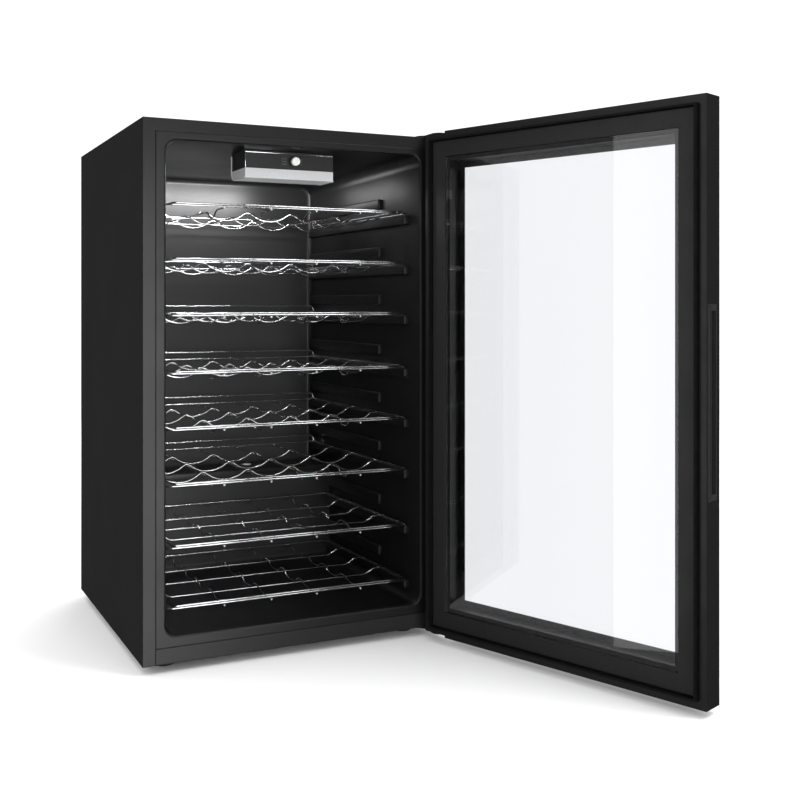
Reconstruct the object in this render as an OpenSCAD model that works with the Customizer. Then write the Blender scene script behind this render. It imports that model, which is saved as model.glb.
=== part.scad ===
// Free-standing wine cooler: steel cabinet with a plastic liner, glazed door, wire shelves
// and a compressor at the back.
// Origin: on the floor, under the middle of the cabinet. +X is to the right seen from the
// front, +Y to the back, +Z up. The door stands open by door_open degrees.

/* [Cabinet] */
// Width of the cabinet
cab_w = 497; // [490:0.5:510]
// Depth of the cabinet without the door and the condenser
cab_d = 490; // [486:1:500]
// Height of the cabinet without its feet
cab_h = 812; // [812:1:830]
// Gap between the floor and the cabinet
foot_gap = 14; // [13:0.5:20]
// Width of the return flange around the front of the steel wrapper
flange_w = 19.5; // [17:0.5:21]
// Thickness of the steel sheets
sheet_t = 1; // [0.8:0.1:1]
// Height of the steel rail under the opening
rail_h = 24.3; // [20:0.1:24.5]

/* [Liner] */
// Thickness of the plastic liner
liner_t = 2; // [1.5:0.1:2]
// Width of the liner's front frame beside the opening
frame_w = 13; // [12:0.5:14]
// Corner radius of the opening
corner_r = 20; // [14:1:24]
// Draft of the liner's walls, front to back
draft = 4.5; // [3:0.5:5]
// Depth of the insulation and the evaporator behind the liner
back_gap = 18; // [16:1:20]
// Distance from the cabinet's back to the front of the compressor step
step_d = 113; // [112:1:116]
// Height of the top of the compressor step
step_z = 235; // [232:1:238]

/* [Shelves] */
// Height of the rails of each shelf, from the top down
shelf_z = [701, 616.5, 532, 443.4, 358, 272.5, 178.5, 87];
// Diameter of the shelf wires
wire_d = 3; // [2.6:0.1:3]
// Distance between two bottle cradles
cradle_pitch = 77; // [76:0.5:77]
// Depth of a bottle cradle
cradle_depth = 13.5; // [10:0.5:14]
// Crest radius of the wavy wires
crest_r = 12; // [8:1:14]
// Distance between the side wires' centres
shelf_w = 411; // [409:0.5:411]

/* [Door] */
// Angle at which the door stands open
door_open = 110.15; // [0:0.05:120]
// Thickness of the door
door_t = 36; // [36:0.5:38]
// Gap between the cabinet and the closed door
door_gap = 8; // [7.6:0.1:8.4]
// How far the door stands above and below the cabinet
door_over = 3; // [3:0.1:4]
// Width of the door's frame around the window
win_inset = 41.5; // [40:0.5:44]
// Width of the black border printed on the outer glass
border_w = 58.5; // [54:0.5:64]
// Distance from the hinge pins to the door's edge
pin_edge = 14; // [13.6:0.1:14.4]
// Distance from the hinge pins to the door's inner face
pin_in = 18; // [17.8:0.1:18.6]

/* [Hidden] */
$fn = 48;

// Colours
BLACK = "#1b1b1d";
GLOSS = "#161618";
DARK = "#2a2a2c";
STEEL = "#c8c9cc";
CHROME = "#d8dade";
FOAM = "#e9dcb4";
COPPER = "#b87748";
GLASS = "#cfe0e4";

// Outer faces of the cabinet
xs = cab_w / 2;
yf = -cab_d / 2;
yb = cab_d / 2;
zb = foot_gap;
zt = zb + cab_h;
fit = 0.4;                              // gap between neighbouring sheets and mouldings

// Front frame
seam_x = xs - flange_w;
seam_z = zt - flange_w;
rail_z = zb + rail_h;
open_x = seam_x - frame_w;
open_z0 = rail_z + 13.2;
open_z1 = seam_z - 8.8;

// Liner cavity, just behind the lip and at the back wall
lip = 3;
lip_y = yf + 10;
wall_y = yb - back_gap;
back_r = 24;

// Compressor bay
bay_y = yb - step_d + 18;
bay_z = step_z - 23;
rear_lip = 12;                          // return flange around the back of the wrapper

// Control box under the liner's ceiling
ctrl_x = 75.2;
ctrl_y = yf + 45;
ctrl_top = open_z1 - 6.7;
ctrl_roof = open_z1 - 4.1;
ctrl_split = ctrl_top - 25.8;
ctrl_bottom = ctrl_split - 15.5;
ctrl_d = 70;
ctrl_wall = 2;
knob_x = 7;
knob_shaft = 6;
knob_z = ctrl_split + 13;

// Shelf supports on the liner's side walls
ledge_x = 203;
ledge_y = yf + 40;
ledge_h = 15.5;
ledge_top = wire_d / 2 + 0.1;           // below the centre of the wires resting on it
guide_y = yf + 145;
guide_h = 18;
guide_up = 16;                          // from the shelf's rails to the guide's underside

// Shelves
side_x = shelf_w / 2;
rail_y = yf + 30;                       // front rails
back_y = 192;
end_y = rail_y - 5;                     // front ends of the front-to-back wires
wave_y = [-104, -6, 92];                // rows of wavy wires
low = -(wire_d - 0.3);                  // front-to-back wires, welded under the crests
under = -(wire_d + 0.1);                // their front ends, just under the front rail
part = wire_d / 2 + 0.02;               // between two wires that only touch
crest_x = 2.5 * cradle_pitch;
inner_x = crest_x + 2.5;                // side wires of the upper frame
high = wire_d + 0.05;                   // upper frame, lying on the lower one
wave_a = 2 * atan(2 * cradle_depth / cradle_pitch);
valley_r = cradle_pitch / 2 / sin(wave_a) - crest_r;
split_a = 0.02;                         // angle left between the halves of a cradle
stop_h = 13;                            // height of the rear stop rail above the shelf
dip = 11;                               // depth of the dip behind the front rails
low_pitch = 81;                         // cradle pitch of the two lower shelves
low_back = 126;
low_wires = [for (i = [0:2]) i * low_pitch - 117];
low_bumps = [for (i = [0:3]) i * low_pitch - 145];
low_flat = -6.3;
low_bump = 3.5;

// Door when closed
yd1 = yf - door_gap;                    // inner face
yd0 = yd1 - door_t;                     // outer face
zd0 = zb - door_over;
zd1 = zt + door_over;
glass_t = 4;
casing_lip = 3;                         // edge of the casing around the outer glass
casing_wall = 2;
step_in = 10;                           // depth of the casing's step behind the inner frame
rim_w = 11;
groove_w = 5;
bead_h = door_gap - 0.5;                // stops just short of the cabinet
grip_z0 = 287;
grip_z1 = 550;

// Hinges: vertical axis at the front right corner
pin_x = xs - pin_edge;
pin_y = yd1 - pin_in;
pin_d = 8;
pin_len = 14;
plate_t = 3;
lobe_r = 13.5;
plate_w = 36;
plate_d = 33;
notch_l = 41;
notch_h = plate_t + fit;
screw_d = 4.6;
screw_head = 8.6;

// Feet
foot_x = xs - 45;
foot_y = yf + 50;
stud_d = 8;
foot_d = 34;
sole_d = 30;                            // where a foot stands on the floor

// Refrigeration
comp_x = -105;
comp_y = yb - 34;
comp_r = 56;
comp_z0 = zb + 16;
comp_h = 148;
comp_round = 22;                        // corner radius of the compressor's shell
tray_h = 16;
cond_y = yb + 17;
cond_x = 190;
cond_z0 = bay_z + 30;
cond_passes = 12;
cond_pitch = 44;
tube_d = 5;
fin_d = 1.6;
fin_pitch = 20;
drain_x = 60;
drain_y = yb - 50;
drain_bore = 16;                        // hole for the drain through panel and foam
drier_x = 90;
drier_z = comp_z0 + 30;
gland_x = xs - 60;
gland_z = bay_z + 22;
gland_bore = 14;

// ---- helpers ----

module box(x0, x1, y0, y1, z0, z1) {
    translate([x0, y0, z0]) cube([x1 - x0, y1 - y0, z1 - z0]);
}

module both_sides() {
    children();
    mirror([1, 0, 0]) children();
}

// Straight round bar from p to q
module rod(p, q, d) {
    v = q - p;
    translate(p)
        rotate([0, acos(v[2] / norm(v)), atan2(v[1], v[0])])
            cylinder(h = norm(v), d = d);
}

// Bent tube through a list of points
module bent_tube(points, d) {
    for (i = [0:len(points) - 2]) rod(points[i], points[i + 1], d);
    for (i = [1:len(points) - 2]) translate(points[i]) sphere(d = d);
}

// Arc of round wire in an XZ plane, centre at [x, z], from angle a0 to a1
module wire_arc(x, y, z, r, a0, a1) {
    translate([x, y, z])
        rotate([90, 0, 0])
            rotate([0, 0, a0])
                rotate_extrude(angle = a1 - a0)
                    translate([r, 0]) circle(d = wire_d);
}

// Flat strip of the wire's thickness along [y, z] points, centred on x
module strip_yz(x, pts) {
    r = wire_d / 2;
    n = len(pts);
    outline = concat([for (p = pts) [p[0], p[1] + r]],
                     [for (i = [n - 1:-1:0]) [pts[i][0], pts[i][1] - r]]);
    translate([x - r, 0, 0])
        rotate([90, 0, 90])
            linear_extrude(wire_d) polygon(outline);
}

// The same along [x, z] points, centred on y
module strip_xz(y, pts) {
    r = wire_d / 2;
    n = len(pts);
    outline = concat([for (p = pts) [p[0], p[1] + r]],
                     [for (i = [n - 1:-1:0]) [pts[i][0], pts[i][1] - r]]);
    translate([0, y + r, 0])
        rotate([90, 0, 0])
            linear_extrude(wire_d) polygon(outline);
}

// Thin slice with rounded corners, standing across the cabinet at y
module slice(x, z0, z1, r, y) {
    for (sx = [-1, 1], z = [z0 + r, z1 - r])
        translate([sx * (x - r), y, z])
            rotate([-90, 0, 0]) cylinder(r = r, h = 0.01, $fn = 32);
}

// Rectangular ring of the door, between two insets from its edge
module door_ring(inset0, inset1, y0, y1) {
    difference() {
        box(-xs + inset0, xs - inset0, y0, y1, zd0 + inset0, zd1 - inset0);
        box(-xs + inset1, xs - inset1, y0 - 1, y1 + 1, zd0 + inset1, zd1 - inset1);
    }
}

// Turns a piece of the closed door to where it stands open
module open_door() {
    translate([pin_x, pin_y, 0])
        rotate([0, 0, door_open])
            translate([-pin_x, -pin_y, 0]) children();
}

// ---- cabinet ----

module outer_shell() {
    color(BLACK)
        difference() {
            box(-xs, xs, yf, yb, zb, zt);
            box(-xs + sheet_t, xs - sheet_t, yf + sheet_t, yb - sheet_t, zb - 1, zt - sheet_t);
            box(-seam_x, seam_x, yf - 1, yf + 2, zb - 1, seam_z);
            box(-xs + rear_lip, xs - rear_lip, yb - 2, yb + 1, zb - 1, zt - rear_lip);
        }
}

module rear_panel() {
    e = sheet_t + 0.2;
    color(BLACK)
        difference() {
            box(-xs + e, xs - e, yb - 2 * sheet_t, yb - sheet_t, bay_z, zt - e);
            translate([gland_x, yb - 5, gland_z])
                rotate([-90, 0, 0]) cylinder(d = gland_bore, h = 10);
        }
}

module compressor_bay_panel() {
    e = sheet_t + 0.2;
    color(DARK)
        difference() {
            union() {
                box(-xs + e, xs - e, bay_y, yb - 2 * e, bay_z - 1, bay_z);
                box(-xs + 2.6, xs - 2.6, bay_y, bay_y + 1, zb + 1.4, bay_z - 1);
            }
            translate([drain_x, drain_y, bay_z - 5]) cylinder(d = drain_bore, h = 10);
        }
}

module base_pan() {
    e = sheet_t + 0.2;
    color(BLACK)
        difference() {
            union() {
                box(-xs + e, xs - e, yf + 1, yb - e, zb, zb + 1.2);
                both_sides() box(xs - e - 1, xs - e, yf + 3, yb - e, zb + 1.2, zb + 15);
                box(-xs + e, xs - e, yb - e - 1, yb - e, zb + 1.2, zb + 10);
            }
            both_sides() translate([foot_x, foot_y, zb - 1]) cylinder(d = 12, h = 5);
        }
}

module front_bottom_rail() {
    x = seam_x - fit;
    color(DARK)
        difference() {
            box(-x, x, yf, yf + 20, zb + 1.2, rail_z - fit);
            box(-x - 1, x + 1, yf + 1.2, yf + 21, zb + 2.4, rail_z - fit - 1.2);
        }
}

// Space inside the liner, or its outside when grown by the liner's thickness
module liner_space(grow) {
    x1 = open_x - lip;
    z0 = open_z0 + lip;
    z1 = open_z1 - lip;
    hull() {
        slice(open_x + grow, open_z0 - grow, open_z1 + grow, corner_r + grow, yf - 0.5);
        slice(x1 + grow, z0 - grow, z1 + grow, corner_r + grow, lip_y);
    }
    hull() {
        slice(x1 + grow, z0 - grow, z1 + grow, corner_r + grow, lip_y);
        slice(x1 - draft + grow, z0 + draft - grow, z1 - draft + grow, back_r + grow,
              wall_y + grow);
    }
}

// The step over the compressor: inner face at step_d from the back
module compressor_step(grow) {
    r = 16;
    y0 = yb - step_d + grow;
    z1 = step_z - grow;
    translate([-xs, 0, 0])
        rotate([90, 0, 90])
            linear_extrude(cab_w)
                union() {
                    translate([y0 + r, 0]) square([step_d, z1]);
                    translate([y0, 0]) square([r + 1, z1 - r]);
                    translate([y0 + r, z1 - r]) circle(r = r);
                }
}

// Ledges that carry the shelves, and the guides above them that stop a shelf tipping
module shelf_supports() {
    for (i = [0:7]) {
        z = shelf_z[i];
        y1 = i < 6 ? wall_y : yb - step_d + 1;
        both_sides() {
            box(ledge_x, open_x, ledge_y, y1, z - ledge_top - ledge_h, z - ledge_top);
            box(ledge_x + 2, open_x, guide_y, y1, z + guide_up, z + guide_up + guide_h);
        }
    }
}

module inner_liner() {
    color(GLOSS)
        difference() {
            union() {
                box(-seam_x + fit, seam_x - fit, yf, yf + liner_t, rail_z + fit, seam_z - fit);
                difference() {
                    liner_space(liner_t);
                    box(-xs, xs, yf - 5, yf, 0, zt);
                }
            }
            difference() {
                liner_space(0);
                compressor_step(0);
                intersection() {
                    shelf_supports();
                    box(-xs, xs, yf + 5, wall_y + 1, 0, zt);
                }
            }
            compressor_step(liner_t);
            translate([drain_x, drain_y, step_z - 10]) cylinder(d = 12, h = 20);
        }
}

module foam_insulation() {
    e = sheet_t + 0.1;
    g = liner_t + 0.1;
    color(FOAM)
        difference() {
            box(-xs + e, xs - e, yf + g, yb - 2 * sheet_t - 0.1, zb + 1.3, zt - e);
            difference() {
                liner_space(g);
                compressor_step(g);
            }
            box(-xs, xs, bay_y - 0.1, yb, 0, bay_z + 0.1);
            box(-xs, xs, yf - 1, yf + 20.1, 0, rail_z);
            both_sides() {
                box(xs - 2.4, xs, yf, yb, zb, zb + 15.2);
                translate([foot_x, foot_y, 0]) cylinder(d = 20, h = zb + 24);
            }
            box(-172, 172, yb - back_gap, yb - back_gap + 4.2, step_z + 60, zt - 70);
            translate([drain_x, drain_y, 0]) cylinder(d = drain_bore, h = step_z);
            translate([gland_x, yb - 30, gland_z])
                rotate([-90, 0, 0]) cylinder(d = gland_bore + 12, h = 40);
        }
}

module evaporator_plate() {
    y = yb - back_gap + liner_t + 0.2;
    color("silver")
        union() {
            box(-170, 170, y, y + 1, step_z + 62, zt - 72);
            for (i = [0:7])
                box(-150, 150, y + 1, y + 1.8, step_z + 90 + i * 55, step_z + 98 + i * 55);
        }
}

module drain_tube() {
    color("gainsboro")
        translate([drain_x, drain_y, bay_z - 12])
            difference() {
                union() {
                    cylinder(d = 11.6, h = step_z - bay_z + 12);
                    translate([0, 0, step_z - bay_z + 12]) cylinder(d = 18, h = 1);
                }
                translate([0, 0, -1]) cylinder(d = 8.5, h = step_z);
            }
}

// ---- control box ----

module control_profile(y0, y1, z0, z1, r) {
    intersection() {
        translate([y0, z0]) square([y1 - y0, z1 - z0]);
        union() {
            translate([y0, z0 + r]) square([y1 - y0, z1 - z0]);
            translate([y0, z0]) square([y1 - y0 - r, z1 - z0]);
            translate([y1 - r, z0 + r]) circle(r = r);
        }
    }
}

module control_housing() {
    x = ctrl_x - 0.2;
    y0 = ctrl_y + 4;
    y1 = ctrl_y + ctrl_d;
    w = ctrl_wall;
    color(DARK)
        difference() {
            box(-x, x, y0, y1, ctrl_split + 0.2, ctrl_roof);
            box(-x + w, x - w, y0 + w, y1 - w, ctrl_split - 1, ctrl_roof - w);
            translate([knob_x, ctrl_y + 10, knob_z]) rotate([90, 0, 0]) cylinder(d = 12, h = 12);
        }
}

module control_fascia() {
    color(GLOSS)
        difference() {
            box(-ctrl_x, ctrl_x, ctrl_y, ctrl_y + 3.8, ctrl_split + 0.2, ctrl_top);
            translate([knob_x, ctrl_y + 5, knob_z]) rotate([90, 0, 0]) cylinder(d = 7, h = 10);
        }
}

// Silvery diffuser tray under the fascia; its rear lower edge is rounded
module lamp_lens() {
    w = ctrl_wall;
    y1 = ctrl_y + ctrl_d;
    color("gainsboro")
        difference() {
            translate([-ctrl_x, 0, 0])
                rotate([90, 0, 90])
                    linear_extrude(2 * ctrl_x)
                        control_profile(ctrl_y, y1, ctrl_bottom, ctrl_split, 14);
            translate([-ctrl_x + w, 0, 0])
                rotate([90, 0, 90])
                    linear_extrude(2 * (ctrl_x - w))
                        control_profile(ctrl_y + w, y1 - w, ctrl_bottom + w, ctrl_split + 1, 12);
        }
}

module lamp_board() {
    z = ctrl_split - 3;
    color("darkgreen") {
        box(-60, 60, ctrl_y + 12, ctrl_y + 44, z, z + 1.6);
        for (x = [-45:15:45])
            translate([x, ctrl_y + 28, z - 1.5]) cylinder(d = 5, h = 1.5);
        both_sides()
            translate([50, ctrl_y + 28, z]) cylinder(d = 6, h = ctrl_roof - ctrl_wall - z);
    }
}

module thermostat_body() {
    color("silver")
        union() {
            box(knob_x - 16, knob_x + 16, ctrl_y + 6.4, ctrl_y + 30, ctrl_split + 2, ctrl_top - 3);
            translate([knob_x, ctrl_y + 6.4, knob_z])
                rotate([90, 0, 0]) cylinder(d = knob_shaft, h = 11.4);
        }
}

module knob_body() {
    color(BLACK)
        translate([knob_x, ctrl_y - 0.4, knob_z])
            rotate([90, 0, 0])
                difference() {
                    union() {
                        cylinder(d = 18, h = 3.8);
                        translate([0, 0, 3.8]) cylinder(d1 = 18, d2 = 16.8, h = 0.8);
                        cylinder(d = 11, h = 8.4);
                    }
                    translate([0, 0, -1]) cylinder(d = knob_shaft + 0.1, h = 6);
                }
}

module knob_cap() {
    color("whitesmoke")
        translate([knob_x, ctrl_y - 5.1, knob_z])
            rotate([90, 0, 0])
                difference() {
                    union() {
                        cylinder(d = 13.4, h = 4.8);
                        translate([0, 0, 4.8]) cylinder(d1 = 13.4, d2 = 12, h = 0.7);
                    }
                    translate([0, 0, -1]) cylinder(d = 11.1, h = 4.8);
                    translate([-0.6, 1.5, 5.1]) cube([1.2, 6, 1]);
                }
}

// ---- refrigeration ----

module compressor() {
    color(BLACK)
        translate([comp_x, comp_y, comp_z0])
            union() {
                rotate_extrude()
                    union() {
                        square([comp_r - comp_round, comp_h]);
                        translate([0, comp_round]) square([comp_r, comp_h - 2 * comp_round]);
                        for (z = [comp_round, comp_h - comp_round])
                            translate([comp_r - comp_round, z]) circle(r = comp_round);
                    }
                translate([0, 0, comp_h / 2 - 3]) cylinder(r = comp_r + 3, h = 6);
            }
}

module compressor_corners() {
    for (sx = [-1, 1], y = [comp_y - 42, comp_y + 17])
        translate([comp_x + sx * 78, y, 0]) children();
}

module compressor_plate() {
    z = comp_z0 - 2;
    color(DARK)
        difference() {
            box(comp_x - 92, comp_x + 92, comp_y - 54, comp_y + 29, z, z + 2);
            compressor_corners() translate([0, 0, z - 1]) cylinder(d = 7, h = 4);
        }
}

module compressor_grommets() {
    color("dimgray")
        compressor_corners()
            translate([0, 0, zb + 1.2])
                difference() {
                    cylinder(d = 22, h = comp_z0 - 2 - zb - 1.2);
                    translate([0, 0, -1]) cylinder(d = 7, h = 30);
                }
}

module compressor_bolts() {
    color(STEEL)
        compressor_corners() {
            translate([0, 0, zb + 1.2]) cylinder(d = 6, h = comp_z0 - zb);
            translate([0, 0, comp_z0]) cylinder(d = 14, h = 1);
            translate([0, 0, comp_z0 + 1]) cylinder(d = 11, h = 5, $fn = 6);
        }
}

module relay_box() {
    x = comp_x + comp_r + 3.2;
    color("#303034")
        difference() {
            box(x, x + 34, comp_y - 26, comp_y + 26, comp_z0 + 40, comp_z0 + 104);
            box(x + 2, x + 32, comp_y - 24, comp_y + 24, comp_z0 + 42, comp_z0 + 102);
        }
}

module drip_tray() {
    z = comp_z0 + comp_h;
    color("#3a3a3c")
        difference() {
            box(comp_x - 60, drain_x + 20, comp_y - 50, comp_y + 30, z, z + tray_h);
            box(comp_x - 58, drain_x + 18, comp_y - 48, comp_y + 28, z + 2, z + tray_h + 1);
        }
}

module condenser_coil() {
    x = cond_x - cond_pitch / 2;
    color(BLACK)
        union() {
            for (i = [0:cond_passes - 1])
                rod([-x, cond_y, cond_z0 + i * cond_pitch],
                    [x, cond_y, cond_z0 + i * cond_pitch], tube_d);
            for (i = [0:cond_passes - 2])
                translate([i % 2 == 0 ? x : -x, cond_y, cond_z0 + (i + 0.5) * cond_pitch])
                    rotate([90, 0, 0])
                        rotate([0, 0, i % 2 == 0 ? -90 : 90])
                            rotate_extrude(angle = 180)
                                translate([cond_pitch / 2, 0]) circle(d = tube_d);
        }
}

module condenser_wires() {
    off = (tube_d + fin_d) / 2 + 0.05;
    z1 = cond_z0 + (cond_passes - 1) * cond_pitch + 8;
    color(BLACK)
        for (x = [-160:fin_pitch:160], s = [-1, 1])
            rod([x, cond_y + s * off, cond_z0 - 8], [x, cond_y + s * off, z1], fin_d);
}

module condenser_brackets() {
    color(DARK)
        for (sx = [-1, 1], i = [1, 6, 10]) {
            z = cond_z0 + i * cond_pitch;
            difference() {
                box(sx * 150 - 7, sx * 150 + 7, yb - sheet_t, cond_y + 5, z - 8, z + 8);
                rod([sx * 150 - 8, cond_y, z], [sx * 150 + 8, cond_y, z], tube_d + 0.2);
            }
        }
}

module rear_screws() {
    color(STEEL)
        for (sx = [-1, 1], z = [bay_z + 30, 420, 610, zt - 30])
            translate([sx * (xs - 6), yb, z])
                rotate([-90, 0, 0])
                    union() {
                        cylinder(d = 7, h = 1.6);
                        translate([0, 0, 1.6]) cylinder(d1 = 7, d2 = 4.6, h = 0.8);
                    }
}

module filter_drier() {
    color(COPPER)
        translate([drier_x, comp_y + 10, drier_z])
            rotate_extrude()
                polygon([[0, 0], [3, 0], [3, 8], [9, 16], [9, 84], [3, 92], [3, 100], [0, 100]]);
}

module refrigerant_pipes() {
    x_out = -cond_x + cond_pitch / 2;
    z_out = cond_z0 + (cond_passes - 1) * cond_pitch;
    z_run = bay_z - 9;
    z_end = bay_z - 1.1;
    y = comp_y + 10;
    color(COPPER) {
        // discharge: compressor to the bottom of the condenser
        bent_tube([[comp_x - comp_r - 0.1, comp_y, comp_z0 + 100], [comp_x - 75, comp_y, comp_z0 + 100],
                   [comp_x - 75, cond_y, comp_z0 + 100], [comp_x - 75, cond_y, cond_z0],
                   [x_out, cond_y, cond_z0]], tube_d);
        // liquid: top of the condenser to the drier
        bent_tube([[x_out, cond_y, z_out], [x_out - 37, cond_y, z_out], [x_out - 37, cond_y, z_run],
                   [x_out - 37, cond_y - 10, z_run], [drier_x, cond_y - 10, z_run],
                   [drier_x, y, z_run], [drier_x, y, drier_z + 100]], tube_d);
        // suction: out of the insulation to the compressor
        bent_tube([[comp_x + comp_r - 0.4, comp_y - 10, comp_z0 + 115],
                   [105, comp_y - 10, comp_z0 + 115], [105, comp_y - 10, z_end]], tube_d);
        // capillary: drier into the insulation
        bent_tube([[drier_x, y, drier_z], [drier_x, y, drier_z - 14], [150, y, drier_z - 14],
                   [150, y, z_end]], 2.4);
    }
}

module cord_gland() {
    color("#262628")
        translate([gland_x, yb - 14, gland_z])
            rotate([-90, 0, 0])
                difference() {
                    union() {
                        cylinder(d = gland_bore - fit, h = 16);
                        cylinder(d = 20, h = 10);
                        translate([0, 0, 13]) cylinder(d = 22, h = 3);
                        translate([0, 0, 16]) cylinder(d1 = 18, d2 = 14, h = 6);
                    }
                    translate([0, 0, -1]) cylinder(d = 8, h = 30);
                }
}

// ---- feet ----

module rear_feet() {
    color(BLACK)
        both_sides()
            translate([foot_x, yb - 40, 0])
                union() {
                    cylinder(d1 = sole_d, d2 = foot_d, h = 3);
                    translate([0, 0, 3]) cylinder(d = foot_d, h = zb - 3);
                }
}

module foot_inserts() {
    color(STEEL)
        both_sides()
            translate([foot_x, foot_y, 0])
                difference() {
                    union() {
                        translate([0, 0, zb]) cylinder(d = 11.8, h = 20);
                        translate([0, 0, zb + 1.2]) cylinder(d = 18, h = 3);
                    }
                    cylinder(d = stud_d + 0.1, h = 50);
                }
}

module front_foot(x) {
    color(BLACK)
        translate([x, foot_y, 0])
            union() {
                cylinder(d1 = sole_d, d2 = foot_d, h = 3);
                translate([0, 0, 3]) cylinder(d = foot_d, h = 5);
                translate([0, 0, 8]) cylinder(d = 15, h = zb - 8.5, $fn = 6);
                cylinder(d = stud_d, h = zb + 19);
            }
}

module front_foot_left() { front_foot(-foot_x); }

module front_foot_right() { front_foot(foot_x); }

// ---- hinges ----

// Bracket lying on z = 0 with its plate above, as on the cabinet's top
module hinge_bracket() {
    x0 = xs - plate_w;
    color(BLACK)
        difference() {
            union() {
                linear_extrude(plate_t)
                    polygon([[x0 + 8, yf + 0.5], [xs - 0.5, yf + 0.5], [xs - 0.5, yf + plate_d],
                             [x0 + 3, yf + plate_d], [x0, yf + plate_d - 3], [x0, yf + 8.5]]);
                box(pin_x - lobe_r, pin_x + lobe_r, pin_y, yf + 1, 0, plate_t);
                translate([pin_x, pin_y, 0]) cylinder(r = lobe_r, h = plate_t);
            }
            translate([pin_x, pin_y, -1]) cylinder(d = pin_d, h = plate_t + 2);
            hinge_screw_places() {
                translate([0, 0, -1]) cylinder(d = screw_d, h = plate_t + 2);
                translate([0, 0, plate_t - 2]) cylinder(d1 = screw_d, d2 = screw_head, h = 2);
            }
        }
}

module hinge_screw_places() {
    for (x = [xs - 27, xs - 10]) translate([x, yf + 20, 0]) children();
}

module hinge_bracket_top() { translate([0, 0, zt]) hinge_bracket(); }

module hinge_bracket_bottom() { translate([0, 0, zb]) mirror([0, 0, 1]) hinge_bracket(); }

module hinge_pin() {
    color(STEEL)
        translate([pin_x, pin_y, 0])
            union() {
                translate([0, 0, -pin_len]) cylinder(d = pin_d, h = pin_len + plate_t);
                translate([0, 0, plate_t]) cylinder(d = 11.4, h = 1);
            }
}

module hinge_pin_top() { translate([0, 0, zt]) hinge_pin(); }

module hinge_pin_bottom() { translate([0, 0, zb]) mirror([0, 0, 1]) hinge_pin(); }

module hinge_screw_set() {
    hinge_screw_places() {
        translate([0, 0, plate_t - 2]) cylinder(d1 = screw_d, d2 = screw_head, h = 2);
        cylinder(d = screw_d, h = plate_t - 2);
    }
}

module hinge_screws() {
    color(STEEL) {
        translate([0, 0, zt]) hinge_screw_set();
        translate([0, 0, zb]) mirror([0, 0, 1]) hinge_screw_set();
    }
}

// ---- door ----

// Block at each hinge corner: the notch for the bracket, or the solid boss around the bush
module hinge_corners(h, l, w) {
    box(xs - l, xs + 1, yd1 - w, yd1 + 1, zd0 - 1, zd0 + h);
    box(xs - l, xs + 1, yd1 - w, yd1 + 1, zd1 - h, zd1 + 1);
}

module door_frame() {
    color(BLACK)
        open_door()
            difference() {
                door_ring(0, win_inset, yd0, yd1);
                // seat of the outer glass
                door_ring(casing_lip, 100, yd0 - 1, yd0 + glass_t + 0.4);
                // seat of the inner frame and the gasket
                door_ring(rim_w, 100, yd1 - step_in, yd1 + 1);
                // hollow behind the outer glass, solid at the hinge corners
                difference() {
                    door_ring(casing_lip + casing_wall, win_inset - casing_wall, yd0 + 3,
                              yd1 - step_in - casing_wall);
                    hinge_corners(34, 32, door_t);
                }
                hinge_corners(notch_h, notch_l, door_t + 2);
                // pocket for the grip in the free edge
                box(-xs - 1, -xs + 22, yd1 - 28.5, yd1 - 12, grip_z0 + 6, grip_z1 - 6);
                box(-xs - 1, -xs + 1.6, yd1 - 28.5, yd1 - 4, grip_z0, grip_z1);
                for (z = [zd0, zd1 - 30])
                    translate([pin_x, pin_y, z - 1]) cylinder(d = 12, h = 32);
            }
}

module door_inner_frame() {
    color(DARK)
        open_door() door_ring(rim_w + groove_w + 0.2, win_inset, yd1 - step_in, yd1);
}

module door_glass_outer() {
    e = casing_lip + 0.3;
    color(GLASS, 0.35) open_door() box(-xs + e, xs - e, yd0, yd0 + glass_t, zd0 + e + 0.3,
                                       zd1 - e - 0.3);
}

// Opaque band printed behind the edge of the outer glass
module door_glass_border() {
    color("black")
        open_door() door_ring(casing_lip + 0.6, border_w, yd0 + glass_t, yd0 + glass_t + 0.4);
}

module door_glass_inner() {
    e = win_inset + 0.3;
    color(GLASS, 0.35) open_door() box(-xs + e, xs - e, yd1 - glass_t - 2, yd1 - 2, zd0 + e,
                                       zd1 - e);
}

module glass_spacer() {
    y0 = yd0 + glass_t + 0.4;
    y1 = yd1 - glass_t - 2;
    color("#101012") open_door() door_ring(win_inset + 0.4, win_inset + 7, y0, y1);
}

module door_gasket() {
    color("#0e0e10")
        open_door()
            union() {
                door_ring(rim_w + 0.2, rim_w + groove_w, yd1 - step_in, yd1 - 1);
                door_ring(rim_w + 1, rim_w + groove_w - 1, yd1 - 1, yd1 + bead_h);
            }
}

module door_grip_insert() {
    color("#131315")
        open_door()
            difference() {
                union() {
                    box(-xs, -xs + 1.5, yd1 - 28.3, yd1 - 4.2, grip_z0 + 0.2, grip_z1 - 0.2);
                    box(-xs, -xs + 21.8, yd1 - 28.3, yd1 - 12.2, grip_z0 + 6.2, grip_z1 - 6.2);
                }
                box(-xs - 1, -xs + 20, yd1 - 26.8, yd1 - 13.7, grip_z0 + 9, grip_z1 - 9);
                box(-xs - 1, -xs + 0.8, yd1 - 11.7, yd1 - 6, grip_z0 + 3, grip_z1 - 3);
            }
}

module door_bushes() {
    color("ivory")
        open_door()
            for (z = [zd0 + notch_h, zd1 - notch_h - pin_len])
                translate([pin_x, pin_y, z])
                    difference() {
                        cylinder(d = 12, h = pin_len);
                        translate([0, 0, -1]) cylinder(d = pin_d + 0.1, h = pin_len + 2);
                    }
}

// ---- shelves ----

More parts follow.
